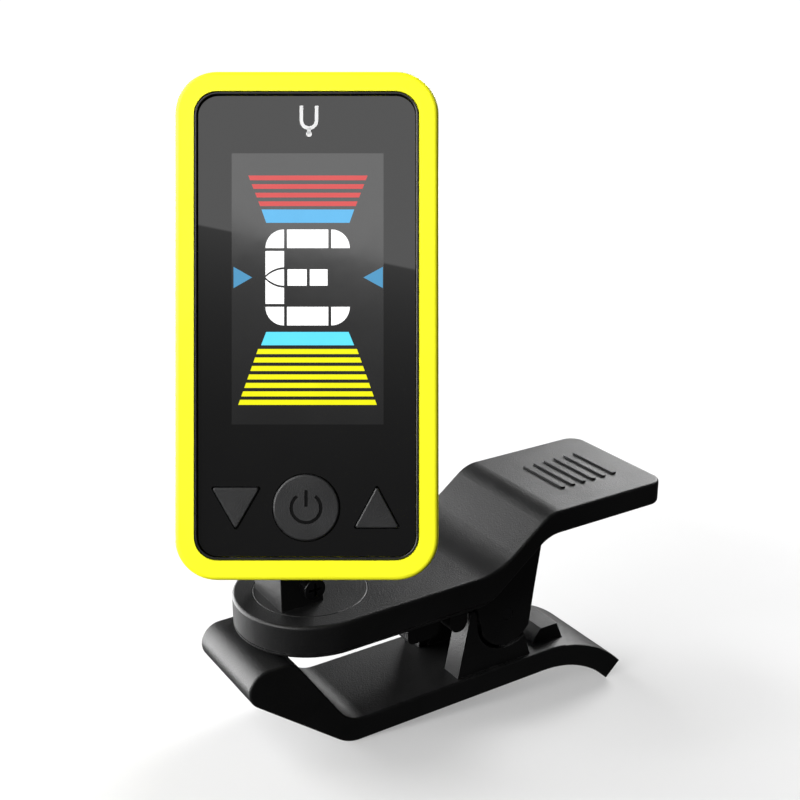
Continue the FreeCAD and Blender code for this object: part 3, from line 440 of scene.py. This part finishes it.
def jaw_spring():
    """Coil spring on the hinge pin, drawn as it sits with the jaws at rest.  On the real clip its lower leg stays
    on the lower jaw as the jaws open.
    """
    mean, wire, pitch = 1.95, 0.395, 0.9      # radius of the coil and the wire, rise of a turn
    upper, lower = 145.0, -133.0              # directions of the two legs about the pin
    upper_leg, lower_leg = (12.2, 6.0), (4.0, 8.4)
    whole_turns = 5
    turns = whole_turns + (lower - upper) % 360 / 360
    length = pitch * turns
    steps = 150
    path = [Vector((mean, -reach, 0)) for reach in upper_leg]
    for index in range(steps + 1):
        angle = math.radians(360 * turns * index / steps)
        rise = length * index / steps
        path.append(Vector((mean * math.cos(angle), mean * math.sin(angle), rise)))
    ahead = Vector((-math.sin(angle), math.cos(angle), 0))
    coil_end = path[-1]
    path += [coil_end + ahead * reach for reach in lower_leg]
    hinge = place_of("jaw_hinge")
    pin = CLIP.inverted() @ hinge
    turned = Matrix.Translation(pin) @ Matrix.Rotation(math.radians(-upper), 4, "Y")
    centred = Matrix.Translation(Vector((0, 0, -length / 2)))
    across = Matrix.Rotation(math.radians(90), 4, "X") @ centred
    spring = tube("jaw_spring", path, wire, CLIP @ turned @ across, MATERIALS["steel"])
    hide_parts("torsion_spring")
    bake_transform(spring)


# ---------------------------------------------------------------- display

GLOW = {
    "red": lit("display_red", (0.88, 0.11, 0.11), 0.75, 0.1),
    "blue": lit("display_blue", (0.13, 0.50, 0.86), 0.95, 0.1),
    "cyan": lit("display_cyan", (0.12, 0.78, 1.0), 1.0, 0.1),
    "dim_blue": lit("display_dim_blue", (0.08, 0.32, 0.56), 0.95, 0.1),
    "white": lit("display_white", (1.0, 1.0, 1.0), 1.05, 0.3),
    "yellow": lit("display_yellow", (0.95, 0.94, 0.004), 0.95, 0.1),
}
FIELD = plastic("display_field", (0.0035, 0.0035, 0.0037), 0.10, 0.25, 0.0, spread=0.15, edge_wear_and_highlight=0.0,
                level=0.85)
SHEET = 0.02            # thickness of each printed or lit layer
FIELD_LEFT, FIELD_RIGHT = -9.15, 8.83
FIELD_LOW, FIELD_HIGH = -11.65, 20.46


def ladder(count, top, pitch, thick, ends, spread):
    """Level bars between two slanting side lines; spread is how fast the sides open downwards."""
    bars = []
    for step in range(count):
        high = top - pitch * step
        low = high - thick
        edges = []
        for level in (high, low):
            growth = (top - level) * spread
            edges.append((ends[0] - growth, ends[1] + growth))
        bars.append(trapezoid(*edges, high, low))
    return bars


def lit_layer(name, outlines, colour):
    """Lit plates that lie on the dark field."""
    on_head(plates(name, outlines, DISPLAY, -2 * SHEET, SHEET, GLOW[colour]))


def display():
    """The lit reading: a tuning ladder in three colours round a segmented note sign."""
    field = plates("display_field", [bar(FIELD_LEFT, FIELD_RIGHT, FIELD_LOW, FIELD_HIGH)], DISPLAY,
                   -SHEET, SHEET, FIELD)
    on_head(field)
    # sharp side: four red bars that narrow downwards
    sharp = ladder(4, top=17.83, pitch=1.02, thick=0.56, ends=(-7.18, 6.94), spread=-0.387)
    lit_layer("display_sharp_bars", sharp, "red")
    # flat side: seven yellow bars that widen downwards
    flat = ladder(7, top=-2.71, pitch=1.003, thick=0.6, ends=(-6.02, 5.68), spread=0.355)
    lit_layer("display_flat_bars", flat, "yellow")
    upper = trapezoid(top=(-5.62, 5.36), bottom=(-5.06, 4.8), high=13.81, low=12.23)
    lit_layer("display_upper_bar", [upper], "blue")
    lower = trapezoid(top=(-5.06, 4.70), bottom=(-5.67, 5.34), high=-0.69, low=-2.27)
    lit_layer("display_lower_bar", [lower], "cyan")
    pointers = [
        [(-8.93, 4.50), (-6.73, 5.76), (-8.93, 7.02)],
        [(8.75, 4.50), (8.75, 7.02), (6.45, 5.76)],
    ]
    lit_layer("display_pointers", pointers, "dim_blue")
    lit_layer("display_note_segments", note_segments(), "white")


def note_segments():
    """Segments of the note sign: rounded corners, bars and a pointed middle."""
    left, right = -5.15, 4.84
    low, high = 0.08, 11.44
    thick = 2.2
    gap = 0.35
    split = 0.25            # upright gap between an end of the middle segment and its neighbours
    inner = left + thick
    middle = (low + high) / 2
    half = 0.97             # half the height of the middle segments
    steps, bluntness = 6, 0.8
    bow = [(left + thick * step / steps,
            half * math.sin(math.pi / 2 * step / steps) ** bluntness)
           for step in range(steps + 1)]
    outlines = []
    for side, face in ((1, high), (-1, low)):
        edge = face - side * thick
        # quarter round at the left, a bar and a quarter round at the right
        corner = (inner, edge)
        turn = (90, 180) if side == 1 else (180, 270)
        outlines.append(arc(corner, thick, *turn) + [corner])
        outlines.append(bar(inner + gap, right - thick - gap, min(face, edge), max(face, edge)))
        corner = (right - thick, edge)
        turn = (0, 90) if side == 1 else (270, 360)
        outlines.append(arc(corner, thick, *turn) + [corner])
        # upright whose inner end follows the pointed middle segment
        near = edge - side * gap
        hollow = [(u, middle + side * (v + split)) for u, v in bow[1:]]
        upright = [(left, near), (inner, near)] + hollow[::-1] + [(left, middle + side * split)]
        outlines.append(upright if side == -1 else upright[::-1])
    # a pointed middle segment and two square ones
    lower = [(u, middle - v) for u, v in bow]
    upper = [(u, middle + v) for u, v in bow]
    outlines.append(lower + upper[::-1])
    outlines.append(bar(-2.54, -0.26, middle - half, middle + half))
    outlines.append(bar(0.1, 2.2, middle - half, middle + half))
    return outlines


def icon():
    """A plain tuning fork printed at the top of the lens."""
    width = 0.42            # of the printed line
    half = 0.9              # from the middle to the middle of a prong
    top, bend, foot = 26.1, 24.35, 22.75
    knob_round = 0.34
    outer = arc((0, bend), half + width / 2, 180, 360, 12)
    inner = arc((0, bend), half - width / 2, 360, 180, 12)
    fork = [(-half - width / 2, top)] + outer + [(half + width / 2, top), (half - width / 2, top)]
    fork += inner + [(-half + width / 2, top)]
    handle = bar(-width / 2, width / 2, foot, bend - half)
    knob = arc((0, foot), knob_round, 0, 348, 20)
    ink = plastic("print_grey", (0.72, 0.72, 0.72), 0.5, 0.2, 0.05, spread=0.06, edge_wear_and_highlight=0.0)
    on_head(plates("tuning_fork_icon", [fork, handle, knob], DISPLAY, -SHEET, SHEET, ink))


def power_sign():
    """A dark plate in the sunk power sign of the middle key: painted shade of the groove."""
    low, high = extent("power_key", BALL)
    middle = (low + high) / 2
    place = BALL @ Matrix.Translation(Vector((middle.x, low.y, middle.z)))
    start, end = 129, 411   # the ring is open at the top
    outer, inner = 1.93, 1.57
    half = (outer - inner) / 2
    depth, thick = 0.09, 0.04
    ring = arc((0, 0), outer, start, end, 24) + arc((0, 0), inner, end, start, 24)
    stroke = bar(-half, half, 0.12, 2.08)
    # painted shade: a near-black plate darkens the sunk sign's strokes where the groove's shade falls
    paint = plastic("sign_groove_shade", (0.0012, 0.0012, 0.0013), 0.7, 0.2, 0.05, edge_wear_and_highlight=0.0, level=0.1)
    sign = plates("power_sign_groove_shade", [ring, stroke], place, depth, thick, paint)
    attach(sign, "power_key")


jaw_spring()
display()
icon()
power_sign()


# ---------------------------------------------------------------- floor, light and camera

WHITE = (1.0, 1.0, 1.0, 1.0)
CAMERA_OUT = 149.8          # from the lens's face to the viewer's plane


def floor():
    """A bright floor and far walls that glow evenly away from the clip."""
    half, wall = 3.0, 4.0
    near, far = 0.10, 0.50  # where the glow starts to rise and where it is full
    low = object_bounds()[0].z
    mesh = bpy.data.meshes.new("floor")
    corners = [(-half, -half, low), (half, -half, low), (half, half, low), (-half, half, low)]
    corners += [(x, y, wall) for x, y, _ in corners]
    walls = [(k, (k + 1) % 4, (k + 1) % 4 + 4, k + 4) for k in range(4)]
    mesh.from_pydata(corners, [], [(0, 1, 2, 3)] + walls)
    material, tree, shader = new_material("floor")
    cloud = noise(tree, 60.0)
    tree.links.new(blend_colour(tree, cloud, (0.45, 0.45, 0.45), (0.465, 0.465, 0.465)),
                   socket(shader, "Base Color"))
    set_inputs(shader, {"Roughness": 0.8, "Specular IOR Level": 0.0, "Emission Color": WHITE})
    place = add_node(tree, "ShaderNodeTexCoord")
    away = add_node(tree, "ShaderNodeVectorMath", operation="LENGTH")
    tree.links.new(place.outputs["Object"], away.inputs[0])
    tree.links.new(ramp(tree, away.outputs["Value"], near, far, 0.32, 1.0),
                   socket(shader, "Emission Strength"))
    mesh.materials.append(material)
    thing = link(bpy.data.objects.new("floor", mesh))
    hide_from(thing, ("diffuse", "glossy", "shadow"))
    thing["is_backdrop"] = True


# name, direction in the clip's frame, distance, width and height, radiance
LAMPS = [
    ("left_light", (-0.50, 0.82, 0.02), 0.9, (1.1, 0.8), 11.0),
    ("bezel_light", (-0.95, -0.15, 0.45), 0.8, (0.5, 0.5), 12.5),
    ("right_light", (0.81, 0.48, 0.40), 0.8, (0.4, 0.3), 17.0),
    ("shadow_light", (-0.60, 0.50, 0.90), 0.9, (0.4, 0.4), 9.0),
]


def hide_from(thing, rays):
    """Keep a stage object out of some kinds of ray."""
    for kind in rays:
        setattr(thing, "visible_" + kind, False)


def lamp(name, direction, distance, size_m, radiance):
    """A soft rectangular light in a direction of the clip's frame, aimed at the object."""
    middle = (Vector(cad_box[0]) + Vector(cad_box[1])) / 2
    toward = (CLIP.to_3x3() @ Vector(direction)).normalized()
    data = bpy.data.lights.new(name, "AREA")
    data.shape = "RECTANGLE"
    data.size, data.size_y = size_m
    data.energy = radiance * math.pi * size_m[0] * size_m[1]
    thing = link(bpy.data.objects.new(name, data))
    thing.location = middle + toward * distance
    thing.rotation_mode = "QUATERNION"
    thing.rotation_quaternion = toward.to_track_quat("Z", "Y")
    thing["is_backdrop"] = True


def glare_card():
    """A card in the viewer's plane that only glossy faces see.  The lens mirrors its slanting
    edge; it is bright above the edge and fades quickly below it."""
    left, right = Vector((-36.6, 32.5)), Vector((15.3, 21.8))
    slant = (right - left).normalized()
    rise = Vector((-slant.y, slant.x))
    fade = 18.0             # how far below the edge the light falls to about a third
    mesh = bpy.data.meshes.new("glare_card")
    corners = [(x, -CAMERA_OUT, z) for x, z in bar(-46, 23, -62, 74)]
    mesh.from_pydata(corners, [], [(0, 1, 2, 3)])
    material, tree, shader = new_material("glare_card")
    place = add_node(tree, "ShaderNodeTexCoord")
    across = add_node(tree, "ShaderNodeVectorMath", operation="DOT_PRODUCT")
    across.inputs[1].default_value = (rise.x, 0, rise.y)
    tree.links.new(place.outputs["Object"], across.inputs[0])
    above = add_node(tree, "ShaderNodeMath", operation="SUBTRACT")
    above.inputs[1].default_value = left.dot(rise)
    tree.links.new(across.outputs["Value"], above.inputs[0])
    scaled = add_node(tree, "ShaderNodeMath", operation="DIVIDE")
    scaled.inputs[1].default_value = fade
    tree.links.new(above.outputs[0], scaled.inputs[0])
    fading = add_node(tree, "ShaderNodeMath", operation="EXPONENT")
    tree.links.new(scaled.outputs[0], fading.inputs[0])
    faded = ramp(tree, fading.outputs[0], 0.0, 1.0, 0.14, 0.9)
    strength = add_node(tree, "ShaderNodeMath", operation="ADD")
    tree.links.new(faded, strength.inputs[0])
    tree.links.new(ramp(tree, above.outputs[0], 0.0, 0.4, 0.0, 1.35), strength.inputs[1])
    set_inputs(shader, {"Base Color": (0.0, 0.0, 0.0, 1.0), "Emission Color": WHITE})
    tree.links.new(strength.outputs[0], socket(shader, "Emission Strength"))
    mesh.materials.append(material)
    thing = link(bpy.data.objects.new("glare_card", mesh))
    thing.matrix_world = SCREEN
    hide_from(thing, ("camera", "diffuse", "shadow", "transmission", "volume_scatter"))
    thing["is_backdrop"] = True


def light():
    """The four lamps, the card that the lens mirrors and a weak even world."""
    for name, direction, distance, size_m, radiance in LAMPS:
        lamp(name, direction, distance, size_m, radiance)
    glare_card()
    world = bpy.data.worlds.new("studio")
    bpy.context.scene.world = world
    world.use_nodes = True
    set_inputs(world.node_tree.nodes["Background"], {"Color": WHITE, "Strength": 0.05})


def camera():
    """Straight on to the screen, a little to its right and below its middle."""
    data = bpy.data.cameras.new("camera")
    data.sensor_width, data.lens = 36.0, 56.92
    data.clip_start, data.clip_end = 0.01, 200.0
    thing = link(bpy.data.objects.new("camera", data))
    turn = Matrix((HEAD_X, HEAD_Z, -HEAD_Y)).transposed().to_4x4()
    eye = SCREEN @ Vector((11.03, -CAMERA_OUT, -8.75))
    thing.matrix_world = Matrix.Translation(eye) @ turn
    bpy.context.scene.camera = thing


floor()
light()
camera()
bpy.context.scene.view_settings.view_transform = "Standard"
